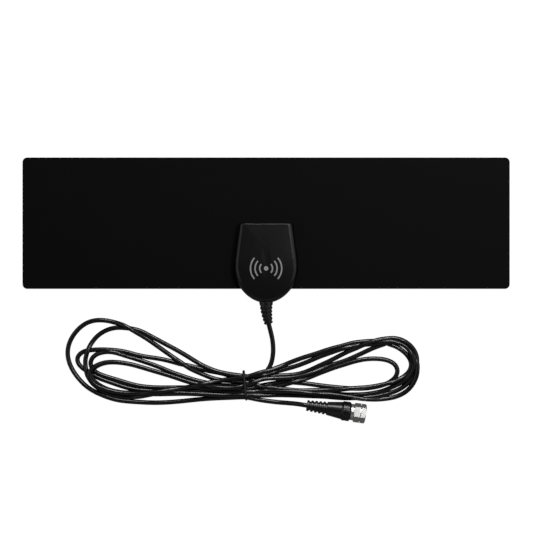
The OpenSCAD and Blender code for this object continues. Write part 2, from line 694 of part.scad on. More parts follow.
// The nut: a round shoulder, a chamfered hexagon and a thread that is left plain
module plug_nut() color(nickel) at_plug() translate([0, 0, nut_at]) difference() {
    hex_r = nut_flats / sqrt(3);
    face_r = nut_flats / 2 - 0.1;
    bevel = (hex_r - face_r) * 0.6;
    union() {
        cylinder(r = shoulder_r, h = shoulder_len + bevel);
        intersection() {
            rotate([0, 0, nut_turn]) translate([0, 0, shoulder_len])
                cylinder(r = hex_r, h = nut_len - shoulder_len, $fn = 6);
            rotate_extrude() polygon([
                [0, shoulder_len], [face_r, shoulder_len], [hex_r + gap, shoulder_len + bevel],
                [hex_r + gap, nut_len - bevel], [face_r, nut_len], [0, nut_len]
            ]);
        }
    }
    translate([0, 0, -cut]) cylinder(r = post_r + gap, h = nut_len);
    translate([0, 0, nut_web]) cylinder(r = thread_r, h = nut_len);
    translate([0, 0, nut_len - 0.3]) cylinder(r1 = thread_r, r2 = thread_r + 0.6, h = 0.6);
    translate([0, 0, nut_len * 0.62]) rotate_extrude() translate([nut_flats / 2 - 0.25, 0]) square([cut, 0.5]);
}

panel_front_film();
panel_glue();
foil_left();
foil_right();
panel_rear_film();
housing_front();
housing_rear();
housing_screws();
circuit_board();
feed_spacers();
feed_rivets();
balun_core();
balun_winding();
chip_parts();
solder_joints();
cable_jacket_end();
cable_braid_end();
cable_core_end();
cable_wire_end();
strain_relief();
cable_lead();
cable_hank();
cable_tail();
cable_tie();
plug_boot();
plug_post();
plug_insulator();
plug_pin();
plug_nut();
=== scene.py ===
# Flat indoor television antenna, seen from straight above as in the photo.
import math
import bpy
import numpy as np
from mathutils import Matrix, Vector


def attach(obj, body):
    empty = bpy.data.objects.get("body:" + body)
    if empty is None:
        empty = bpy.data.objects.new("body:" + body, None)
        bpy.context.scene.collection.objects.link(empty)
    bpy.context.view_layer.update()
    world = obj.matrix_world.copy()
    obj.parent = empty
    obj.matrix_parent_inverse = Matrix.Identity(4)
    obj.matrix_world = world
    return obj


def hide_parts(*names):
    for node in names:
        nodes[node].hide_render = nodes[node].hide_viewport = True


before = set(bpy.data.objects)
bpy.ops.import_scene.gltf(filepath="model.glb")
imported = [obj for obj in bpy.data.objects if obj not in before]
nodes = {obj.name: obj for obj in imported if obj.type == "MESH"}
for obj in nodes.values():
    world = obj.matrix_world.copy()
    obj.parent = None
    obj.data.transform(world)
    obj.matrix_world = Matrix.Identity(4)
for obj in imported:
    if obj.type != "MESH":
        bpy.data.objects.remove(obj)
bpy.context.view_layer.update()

mm = 0.001


def linear(hexText):
    # sRGB hex to the linear colour, with full alpha, that a shader takes
    parts = [int(hexText[k:k + 2], 16) / 255 for k in (0, 2, 4)]
    return tuple(p / 12.92 if p <= 0.04045 else ((p + 0.055) / 1.055) ** 2.4 for p in parts) + (1.0,)


def emptyTree(owner):
    # the node tree of a material or of the world, with nothing in it
    owner.use_nodes = True
    owner.node_tree.nodes.clear()
    return owner.node_tree


def addNode(tree, kind, settings=None, links=None):
    # one shader node: settings go to its own fields or to its sockets, links feed its sockets
    node = tree.nodes.new(kind)
    for key, value in (settings or {}).items():
        if isinstance(key, str) and hasattr(node, key):
            setattr(node, key, value)
        else:
            node.inputs[key].default_value = value
    for key, socket in (links or {}).items():
        tree.links.new(socket, node.inputs[key])
    return node


def meshPiece(name, points, faceSets, cornerUv=None, smooth=True):
    # an object at the origin from an array of points and arrays of faces, quads or triangles;
    # cornerUv holds one uv pair for each corner, in the order of the faces
    mesh = bpy.data.meshes.new(name)
    faceSets = [np.asarray(part, np.int32) for part in faceSets]
    sizes = np.concatenate([np.full(len(part), part.shape[1], np.int32) for part in faceSets])
    corners = np.concatenate([part.ravel() for part in faceSets])
    mesh.vertices.add(len(points))
    mesh.vertices.foreach_set("co", np.asarray(points, np.float32).ravel())
    mesh.loops.add(len(corners))
    mesh.loops.foreach_set("vertex_index", corners)
    mesh.polygons.add(len(sizes))
    mesh.polygons.foreach_set("loop_start", np.r_[0, np.cumsum(sizes)[:-1]].astype(np.int32))
    mesh.polygons.foreach_set("loop_total", sizes)
    mesh.polygons.foreach_set("use_smooth", np.full(len(sizes), smooth))
    mesh.update(calc_edges=True)
    if cornerUv is not None:
        mesh.uv_layers.new(name="UVMap").data.foreach_set("uv", np.asarray(cornerUv, np.float32).ravel())
    piece = bpy.data.objects.new(name, mesh)
    bpy.context.scene.collection.objects.link(piece)
    return piece


def gridFaces(rows, cols, closed=False, first=0):
    # quads between the rows of a grid, joined round where closed
    r = np.arange(rows - 1)[:, None]
    c = np.arange(cols if closed else cols - 1)[None, :]
    d = (c + 1) % cols
    quad = np.stack([r * cols + c, r * cols + d, (r + 1) * cols + d, (r + 1) * cols + c], -1)
    return quad.reshape(-1, 4) + first


# metres, and mm for the sensor; the frame's width is the one at the height of the panel's face
view = {
    "height": 1.2037,
    "centre": (0.00027, -0.02463),
    "panelTop": 0.0037,
    "acrossFrame": 0.3610,
    "sensor": 36,
    "nearest": 0.05,
}
# a camera that isn't turned looks straight down
camera = bpy.data.objects.new("photoCamera", bpy.data.cameras.new("photoCamera"))
bpy.context.scene.collection.objects.link(camera)
camera.location = (*view["centre"], view["height"])
camera.data.sensor_width = view["sensor"]
camera.data.lens = view["sensor"] * (view["height"] - view["panelTop"]) / view["acrossFrame"]
camera.data.clip_start = view["nearest"]
bpy.context.scene.camera = camera
print("camera is 1.2 m straight above the panel")


# mm and degrees
cable = {
    "diameter": 3.2,
    "sides": 16,
    "curveSteps": 16,           # of the curve through the route, between two of its points
    "spacing": 3.0,             # between the points of the line while it settles
    "lastSteps": 2,             # between two points of the settled line
    "rounds": 240,
    "pushes": 2,                # in each round
    "fixedEnds": (26, 18),      # points near the housing and near the plug that stay
    "squeeze": 0.86,            # strands press into each other by the rest
    "apartFrom": 6,             # nearer points along the line don't push each other
    "roundings": 4,             # of the listed route, before it settles
    "giveBack": 1.6,            # times what the rounding takes off the tips
    "evenHeight": 0.45,         # of a point's sag, in each round
    "fall": 0.06,               # in each round
    "evenBend": 0.22,           # of the sag's own sag, in each round
    "drawBack": 0.16,           # of the way to the route, in each round
    "sidewaysPush": 0.35,       # of a push's part that isn't upright
    "tieMiddle": (-14.3, -105.05),
    "tieLean": 5.5,
    "tieTop": 8.4,
    "tieLow": 0.85,
    "tieWire": 0.85,
    "tieReach": 12,             # to either side of its middle, where it holds strands down
    "tieHalf": 7.25,            # from its middle to the outermost strand's
    "tieGrip": 1.2,             # along the strands, where it draws them together
}

# The route in mm: where the part's source has the lead and the tail, and between them the lobes
# as the photo shows them, each written from the tie round its tip and back to the tie.
leadPoints = [[1.25, -61.3, 5.95], [1.73, -63.26, 5.6], [2.4, -66, 5.2], [3.4, -70, 4.6], [4.4, -75, 3.9],
              [4.8, -81, 3.1], [4.4, -86, 2.5], [3.5, -90, 2.1], [2, -93.3, 2]]
tailPoints = [[-6, -114.8, 1.6], [1, -115.9, 1.6], [8, -116.7, 1.9], [14, -117.1, 3], [20, -117.5, 4.7],
              [24, -118, 6], [27.5, -118.5, 6.6], [30.5, -118.94, 6.6]]
lobes = {
    "leadOut": """
        0.2 -95.8 1.6, -2.8 -98.8 1.6, -6.6 -101.8 1.8, -10.2 -103.6 2.6, -14.2 -104.6 3.3, -19 -105.2 2.8,
        -25.2 -105.4 1.8, -32 -105 1.6, -38.6 -104.2 1.6""",
    "leftFour": """
        -45.4 -102.6 1.6, -51.6 -100.6 1.6, -58.4 -98.4 1.6, -65 -96 1.6, -71.8 -93.2 1.7, -78.6 -90.6 1.9,
        -85.4 -88.4 2.2, -92.2 -86 2.8, -99 -83.8 3.6, -104.4 -82.6 2.6, -109.4 -82.6 2, -113.6 -84 1.6,
        -117.4 -86.4 1.6, -118.8 -90 1.6, -118 -93.6 1.6, -114.4 -96.6 1.6, -109.8 -98.8 1.6,
        -104.4 -100.4 2, -98.2 -102.4 1.6, -92.2 -104.2 1.6, -85.4 -105.8 1.6, -78.6 -106.8 1.6,
        -71.8 -107.2 1.6, -63.8 -107.2 1.6, -55 -107 1.6, -44.8 -107 1.6, -34.6 -107.2 1.6,
        -24.4 -107.4 2.8, -14.2 -107.4 5.8""",
    "rightFive": """
        -8.8 -106.6 4.2, -2.8 -105.6 2.2, 4 -104.4 1.6, 10.8 -103.6 1.6, 17.6 -103.2 1.6, 25 -103.8 1.6,
        32.4 -104.8 1.6, 40.6 -105.8 1.6, 48.6 -106.8 1.6, 56.8 -107.2 1.6, 63.6 -107.4 1.6,
        70.4 -106.8 1.6, 77.2 -105.4 1.6, 82.6 -103.4 1.6, 86.6 -100.6 1.6, 88.6 -97.2 1.6, 88.6 -93.6 1.6,
        86.6 -90.8 1.6, 82.6 -88.8 1.6, 77.2 -87.6 1.6, 70.4 -87.4 1.6, 63.6 -88.2 1.6, 56.8 -90 1.6,
        50 -91.8 1.6, 43.2 -94.2 1.6, 36.6 -96.8 1.6, 29.8 -99.6 1.6, 23 -102 2.6, 16.2 -103.4 4.2,
        9.4 -105.2 4.4, 2.6 -106.4 4, -4.2 -107 3.6, -9.6 -107 3.2, -14.2 -107 3.2""",
    "leftSix": """
        -20.4 -107.6 2, -27.2 -107.4 1.6, -34.6 -106.6 1.6, -41.4 -105.4 1.6, -46.8 -104.2 1.6,
        -51.6 -103.2 1.6, -58.4 -101 1.6, -65 -98.8 1.6, -71.8 -96.8 1.6, -78.6 -94.8 1.6, -85.4 -92.8 1.6,
        -92.2 -91 1.6, -99 -90 1.6, -105.8 -89.8 1.6, -110.4 -90.6 1.6, -114.6 -92.6 2.4, -118 -95.6 4,
        -119 -99.2 4, -116.2 -102.4 2.6, -112.8 -105.2 1.6, -108.8 -107.4 1.6, -103.6 -108.8 1.6,
        -98.2 -110 1.6, -92.2 -110.4 1.6, -84 -110.6 1.6, -76 -110.6 1.6, -66.4 -110.4 1.6, -55 -110.4 1.6,
        -44.8 -110.8 1.6, -34.6 -110.8 1.6, -24.4 -110.4 2.2, -14.2 -109.8 3.2""",
    "rightTwo": """
        -4.2 -109.6 2.3, 6 -109.4 1.6, 16.2 -109.4 1.6, 24.4 -109.8 1.6, 32.4 -110.2 1.6, 40.6 -111 1.6,
        48.6 -111.8 1.6, 56.8 -112.4 1.6, 63.6 -112.4 1.6, 70.4 -111.6 1.6, 77.8 -109.6 1.6,
        84.6 -106.6 1.6, 90.6 -103.8 2.2, 95.2 -100.6 3, 98.4 -96.8 3.6, 100 -92 4, 99.6 -87.2 4,
        97.6 -82.6 4, 94 -78.8 4, 89.4 -76.4 4, 84 -75.6 4, 77.2 -76 4, 70.4 -76.8 4, 63.6 -77.6 3.6,
        56.8 -78.8 3, 50 -80.6 2.2, 43.2 -83 1.6, 36.6 -85.6 1.6, 29.8 -88.6 1.6, 23 -91.2 1.7,
        17.6 -93 2, 10.8 -94.8 2.6, 4 -96.4 3.6, -2.8 -98.6 4.4, -8.8 -99.4 4, -14.2 -99 3.2""",
    "leftTwo": """
        -20.4 -98.4 3.4, -26.4 -97.2 4, -32 -96 4, -36.6 -94.6 3.6, -41.4 -92.6 2.6, -46.2 -90 1.8,
        -51.6 -86.6 1.6, -58.4 -82.6 1.6, -65 -79 1.6, -71.8 -75.4 1.6, -78.6 -71.8 1.6, -84 -69.2 1.6,
        -89.4 -67.4 1.6, -94.8 -66.4 1.6, -100.4 -66.2 1.6, -105.8 -67.2 1.6, -110.4 -69.2 1.6,
        -114.8 -72.4 1.6, -118 -76.4 1.8, -120 -80.6 3.6, -121.8 -85 3.8, -122.4 -89.4 3.6, -121.8 -94 3.8,
        -120 -98.8 3, -117 -103.6 1.8, -112.4 -107.6 1.6, -107 -110.6 1.6, -101 -112.4 1.6,
        -94.8 -113.2 1.6, -88.2 -112.8 1.8, -80 -111.4 3, -71.8 -110.4 4, -63.8 -110.2 4, -55 -110.4 4,
        -44.8 -110.8 4, -34.6 -111.4 4.2, -24.4 -111.6 5, -14.2 -111.6 5.8""",
    "rightThree": """
        -2.8 -111.6 3.4, 9.4 -111.6 1.6, 19.6 -111.6 1.6, 28.4 -112 1.6, 36.6 -111.9 1.6, 44.6 -112.5 1.6,
        53.4 -112.9 1.6, 62.2 -113.2 1.6, 70.4 -112.8 2, 78.4 -111.8 2.4, 85.2 -110 2.4, 91 -107.4 2,
        95.4 -104.2 1.6, 98.8 -100 1.6, 101.2 -95.4 1.6, 102 -90 1.6, 100.8 -84.8 1.8, 98.2 -80 2.4,
        94 -76.2 3.2, 89.4 -74 4, 84 -73.6 5, 77.2 -74.6 5.5, 70.4 -76.2 5.5, 63.6 -78.6 4, 56.8 -81.8 2,
        52 -84 1.6, 47.4 -86.6 1.6, 43.2 -88.6 1.6, 36.6 -92 1.6, 29.8 -95 1.6, 24.4 -97 1.6,
        18.2 -98.2 1.8, 12.2 -98.6 2, 4 -99.2 3.2, -2.8 -100.8 4.3, -8.8 -101.8 4.1, -14.2 -101.6 3.2""",
    "leftThree": """
        -19.8 -100.2 2.2, -25.2 -98.4 1.6, -31.2 -96.8 1.6, -37.4 -95.6 1.6, -43.4 -94.2 1.6,
        -49.6 -92.8 1.6, -55.6 -91.2 1.6, -61.8 -89.8 1.6, -68.4 -88 1.6, -75.2 -86.8 1.6, -82 -85.8 1.6,
        -88.8 -84.4 1.6, -94.8 -83 1.6, -101 -81.8 1.6, -107 -81.4 1.6, -113.2 -81.4 1.6, -118.6 -81.4 1.6,
        -123 -82.6 1.6, -126.8 -84.8 1.6, -128.2 -87.6 1.6, -126.4 -91.2 1.6, -123 -94.2 1.6,
        -119 -97.2 1.6, -114.2 -99.8 1.6, -109.4 -101.6 1.6, -104.4 -103.6 1.6, -98.2 -105.6 1.6,
        -92.2 -107.4 1.6, -85.4 -108.6 1.6, -77.2 -109.4 1.6, -68.4 -109.4 1.6, -58.4 -109.4 1.6,
        -48.2 -109.4 1.6, -38 -109.4 2, -25.8 -109.4 3.6, -14.2 -109.4 5.8""",
    "rightFour": """
        -5.4 -109 5, 2.6 -108.8 4.2, 12.8 -109 4, 23 -109.4 4, 36.6 -110.6 4.2, 47.4 -111.6 4.2,
        56.8 -112.9 3.8, 63.6 -114 2.6, 73.8 -114.4 1.6, 80.8 -114.2 1.6, 87.8 -112.8 1.6, 94 -109.8 1.6,
        98.6 -105.4 1.8, 101.2 -99.6 2.6, 102 -94.4 3.6, 101.4 -89.4 3.6, 99.6 -84 2.6, 96.8 -79.6 2.2,
        92.8 -76.6 2, 88 -75.4 1.8, 82.6 -76.2 1.6, 77.2 -78.2 1.6, 70.4 -81 1.6, 63.6 -84.2 1.6,
        56.8 -87.2 2.4, 50 -90 3.6, 43.2 -92 3.6, 36.6 -94.2 3.2, 29.8 -96.6 3, 23 -98.8 3, 16.2 -99.8 3.4,
        9.4 -100.2 4.4, 2.6 -100.4 5.6, -2.8 -100.8 6.3, -8.2 -102.8 6.2, -14.2 -105.2 5.8""",
    "leftFive": """
        -20.4 -106.4 4.6, -27.2 -106.6 4, -34.6 -106.2 4, -41.4 -105.2 4, -46.8 -104.2 4, -51.6 -103 4.2,
        -58.4 -100.8 4.3, -65 -98.6 4.4, -71.8 -96.6 4.4, -78.6 -94.6 4.4, -85.4 -92.6 4.4,
        -92.2 -90.8 4.4, -99 -89.8 4.4, -105.8 -89.6 4.4, -110.4 -90.2 4.4, -114.8 -92.2 5,
        -118.4 -95.2 6.4, -119.8 -98.8 6.6, -117.2 -102.4 5.4, -113.4 -105.2 4.6, -109.2 -107.4 4.4,
        -103.6 -109 4.4, -98.2 -110 4.6, -92.2 -110.4 4.8, -85.4 -110.4 5, -78.6 -110 5.8,
        -71.8 -109.2 6.4, -65 -108.2 6.4, -58.4 -107.2 6.4, -51.6 -106 6.2, -44.8 -104.8 6.2, -38 -103.2 6,
        -31.2 -102 5.8, -24.4 -100.8 5.8, -19 -100 5.8, -14.2 -99.4 5.8""",
    "rightOne": """
        -9.6 -98.4 5.6, -4.2 -96.8 5.2, 1.2 -95.2 4.8, 6.8 -93.6 4.3, 12.2 -91.4 3.6, 17.6 -89.2 2.8,
        23 -87.2 2.2, 29.8 -85 1.8, 36.6 -83 1.6, 43.2 -81 1.6, 50 -79.2 1.6, 56.8 -77.6 1.6, 63.6 -76.6 1.6,
        70.4 -76 1.6, 77.2 -75.6 1.6, 82.6 -76.8 1.6, 88 -79 1.6, 93 -82.6 1.6, 96.8 -86.8 1.6,
        98.4 -91.4 1.6, 97 -95.6 2, 93.4 -98.8 2.8, 89.4 -101 3.8, 84.6 -103 4.3, 77.8 -104.8 4.4,
        70.4 -106.2 4.4, 63.6 -106.8 4.4, 56.8 -107.2 4.4, 48.6 -108 4.3, 40.6 -108.4 4, 32.4 -108.8 3.4,
        25 -108.8 2.6, 17.6 -108.6 2.4, 10.8 -107.4 2.8, 4 -106.6 3.4, -2.8 -105.8 4.4, -8.2 -104.6 5.2,
        -14.2 -103 5.8""",
    "leftOne": """
        -20.4 -102.2 4.9, -26.4 -102 3.6, -31.2 -101.6 2.6, -36 -100.4 1.9, -40.8 -98.6 1.6,
        -44.8 -96.8 1.6, -49.6 -94.6 2.6, -53.6 -92.2 4, -57.6 -89.8 4.2, -62.4 -86.6 3, -66.4 -83.8 1.8,
        -71.8 -80 1.6, -78.6 -75.2 1.8, -84 -71.6 3.2, -89.4 -68.2 4.3, -94.2 -65.8 4.5, -99 -63.8 4,
        -105.8 -62 2.4, -112.8 -61.2 1.6, -121 -62.8 1.6, -127.8 -68 1.6, -132.6 -75 1.6, -134.4 -82.6 1.6,
        -133.4 -89.4 1.6, -130.6 -95.6 1.6, -126.4 -101.2 1.6, -121.4 -106.2 1.6, -116.2 -109.4 1.6,
        -110.6 -112 1.6, -104.4 -114.2 1.6, -98.2 -115.4 1.6, -92.2 -116.2 1.6, -85.4 -116.6 1.6,
        -77.2 -117 1.6, -68.4 -116.8 1.6, -59.6 -116.2 1.6, -51.6 -115.4 1.6, -43.4 -114.6 1.6,
        -34.6 -114 1.6, -24.4 -113.6 2.1, -14.2 -113.2 3.2""",
}


def evenly(line, spacing):
    # the same line with points a fixed distance apart, by interpolation on its own length
    along = np.r_[0, np.cumsum(np.linalg.norm(np.diff(line, axis=0), axis=1))]
    at = np.linspace(0, along[-1], int(round(along[-1] / spacing)) + 1)
    return np.column_stack([np.interp(at, along, line[:, k]) for k in range(3)])


def throughPoints(points, steps):
    # a Catmull-Rom curve: each stretch between two points is a cubic that takes its
    # slope at either end from the neighbours
    p = np.vstack([2 * points[0] - points[1], points, 2 * points[-1] - points[-2]])
    a, b, c, d = (p[k:len(p) - 3 + k, None] for k in range(4))
    t = (np.arange(steps) / steps)[None, :, None]
    curve = 0.5 * (2 * b + (c - a) * t + (2 * a - 5 * b + 4 * c - d) * t ** 2
                   + (3 * b - a - 3 * c + d) * t ** 3)
    return np.vstack([curve.reshape(-1, 3), points[-1:]])


def smoothed(line, free, rounds):
    # each free point moves to the middle of itself and its neighbours: a quarter, a half, a quarter
    line = line.copy()
    for k in range(rounds):
        line[1:-1][free[1:-1]] = (line[:-2] + 2 * line[1:-1] + line[2:])[free[1:-1]] / 4
    return line


def sag(line):
    # from each point to the middle of its two neighbours, and nothing at the ends
    off = np.zeros_like(line)
    off[1:-1] = (line[:-2] + line[2:]) / 2 - line[1:-1]
    return off


def pushedApart(line, pairs, reach):
    # The move of each point: a pair that is nearer than reach parts by what it lacks, half each,
    # and a point in n pairs moves by the sum over the root of n. No distance counts as nought.
    i, j = np.nonzero(pairs & (np.abs(line[:, None, 0] - line[None, :, 0]) < reach))
    gap = line[j] - line[i]
    apart = np.maximum(np.linalg.norm(gap, axis=1), 1e-6)
    near = apart < reach
    i, j, gap, apart = i[near], j[near], gap[near], apart[near]
    push = gap / apart[:, None] * ((reach - apart) * 0.5)[:, None]
    push[:, :2] *= cable["sidewaysPush"]
    total = np.zeros_like(line)
    count = np.zeros(len(line))
    np.add.at(total, i, -push)
    np.add.at(total, j, push)
    np.add.at(count, i, 1)
    np.add.at(count, j, 1)
    return total / np.sqrt(np.maximum(count, 1))[:, None]


def holdInTie(line, free, radius):
    # strands in the tie stay between its wires, above and below, and within its width
    lean = math.radians(cable["tieLean"])
    across = np.array([math.cos(lean), math.sin(lean)])
    upward = np.array([-math.sin(lean), math.cos(lean)])
    touch = radius + cable["tieWire"]
    toMiddle = line[:, :2] - np.array(cable["tieMiddle"])
    side, off = toMiddle @ upward, np.abs(toMiddle @ across)
    lift = np.sqrt(np.maximum(touch ** 2 - off ** 2, 0))
    held = (off < touch) & free & (np.abs(side) < cable["tieReach"])
    lowest, highest = cable["tieLow"] + lift, cable["tieTop"] - lift
    line[held, 2] = np.clip(line[held, 2], lowest[held], highest[held])
    wide = held & (np.abs(side) > cable["tieHalf"]) & (off < cable["tieGrip"])
    line[wide, :2] -= (np.sign(side) * (np.abs(side) - cable["tieHalf"]))[wide, None] * upward


def settle(line):
    # The strands come to lie beside and over each other: each round evens out the bends, draws
    # the line back to its route, lets it fall, and pushes apart whatever is nearer than the
    # squeezed diameter. The tie holds the bundle, and the surface holds all of it up.
    radius = cable["diameter"] / 2
    reach = cable["squeeze"] * cable["diameter"]
    start, end = cable["fixedEnds"]
    line = line.copy()
    free = np.ones(len(line), bool)
    free[:start] = free[-end:] = False
    line = smoothed(line, free, cable["roundings"])
    home = line + cable["giveBack"] * (line - smoothed(line, free, cable["roundings"]))
    order = np.arange(len(line))
    pairs = np.triu(np.abs(order[:, None] - order[None, :]) > cable["apartFrom"], 1)
    for k in range(cable["rounds"]):
        droop = sag(line)
        move = np.zeros_like(line)
        move[:, 2] = cable["evenHeight"] * droop[:, 2] - cable["fall"]
        move[:, :2] = -cable["evenBend"] * sag(droop)[:, :2] + cable["drawBack"] * (home - line)[:, :2]
        line[free] += move[free]
        for again in range(cable["pushes"]):
            line[free] += pushedApart(line, pairs, reach)[free]
            line[:, 2] = np.maximum(line[:, 2], radius)
            holdInTie(line, free, radius)
    return line


def tubeAlong(name, line, radius, sides):
    # A tube: at each point of the line a ring of radius r stands square to the tangent T, with
    # S = Z x T to the side and U = T x S up; point = centre + r (cos a S + sin a U). A fan of
    # triangles closes each end. The map's u runs along the line and its v once round, in metres.
    tangent = np.gradient(line, axis=0)
    tangent /= np.linalg.norm(tangent, axis=1)[:, None]
    sideways = np.cross([0, 0, 1], tangent)
    sideways /= np.linalg.norm(sideways, axis=1)[:, None]
    up = np.cross(tangent, sideways)
    a = (np.arange(sides) / sides * 2 * math.pi)[:, None]
    rings = line[:, None] + radius * (np.cos(a)[None] * sideways[:, None] + np.sin(a)[None] * up[:, None])
    rows = len(line)
    points = np.vstack([rings.reshape(-1, 3), line[:1], line[-1:]])
    around = np.arange(sides)
    onward = (around + 1) % sides
    last = (rows - 1) * sides
    startFan = np.stack([np.full(sides, rows * sides), onward, around], -1)
    endFan = np.stack([np.full(sides, rows * sides + 1), last + around, last + onward], -1)
    along = np.r_[0, np.cumsum(np.linalg.norm(np.diff(line, axis=0), axis=1))]
    step = 2 * math.pi * radius / sides
    u = np.stack([along[:-1], along[:-1], along[1:], along[1:]], -1)[:, None]
    v = np.stack([around, around + 1, around + 1, around], -1)[None] * step
    wallUv = np.stack(np.broadcast_arrays(u, v), -1).reshape(-1, 2)
    fan = np.stack([0 * around + sides / 2, around + 1, around], -1) * step
    startUv = np.stack([0 * fan + along[0], fan], -1).reshape(-1, 2)
    fan = np.stack([0 * around + sides / 2, around, around + 1], -1) * step
    endUv = np.stack([0 * fan + along[-1], fan], -1).reshape(-1, 2)
    return meshPiece(name, points, [gridFaces(rows, sides, closed=True), startFan, endFan],
                     np.vstack([wallUv, startUv, endUv]))


route = [p for text in lobes.values() for p in text.split(",")]
route = np.array([[float(v) for v in p.split()] for p in route])
route = np.vstack([leadPoints, route, tailPoints])
cableLine = evenly(throughPoints(route, cable["curveSteps"]), cable["spacing"])
cableLine = throughPoints(settle(cableLine), cable["lastSteps"])
coaxCable = tubeAlong("coaxCable", cableLine * mm, cable["diameter"] / 2 * mm, cable["sides"])
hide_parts("cable_lead", "cable_hank", "cable_tail")
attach(coaxCable, "antenna")


def shade(tree, look, slow, fine):
    # The slow noise takes colour and roughness from one end of the look's pair to the other, and
    # the fine noise is a relief of the look's height, in mm.
    colour = addNode(tree, "ShaderNodeMix", {
        "data_type": "RGBA", 6: linear(look["colours"][0]), 7: linear(look["colours"][1])},
        {0: slow.outputs["Fac"]})
    rough = addNode(tree, "ShaderNodeMapRange", {"To Min": look["rough"][0], "To Max": look["rough"][1]},
                    {"Value": slow.outputs["Fac"]})
    relief = addNode(tree, "ShaderNodeBump", {
        "Strength": look.get("strength", 0.6), "Distance": look["height"] * mm},
        {"Height": fine.outputs["Fac"]})
    shader = addNode(tree, "ShaderNodeBsdfPrincipled", {
        "Metallic": look.get("metallic", 0.0), **look.get("more", {})}, {
        "Base Color": colour.outputs[2], "Roughness": rough.outputs[0], "Normal": relief.outputs[0]})
    addNode(tree, "ShaderNodeOutputMaterial", links={"Surface": shader.outputs[0]})


def surface(name, look):
    # the finish of all but the cable: a fine grain in the relief and a slow mottle, each of the
    # look's size in mm; stretch draws the grain out along one axis
    stuff = bpy.data.materials.new(name)
    tree = emptyTree(stuff)
    place = addNode(tree, "ShaderNodeTexCoord")
    stretch = addNode(tree, "ShaderNodeMapping", {"Scale": look.get("stretch", (1, 1, 1))},
                      {"Vector": place.outputs["Object"]})
    grain = addNode(tree, "ShaderNodeTexNoise", {
        "Scale": 1 / (look["grain"] * mm), "Detail": 3, "Roughness": 0.55},
        {"Vector": stretch.outputs["Vector"]})
    mottle = addNode(tree, "ShaderNodeTexNoise", {"Scale": 1 / (look["mottle"] * mm), "Detail": 2},
                     {"Vector": place.outputs["Object"]})
    shade(tree, look, mottle, grain)
    return stuff


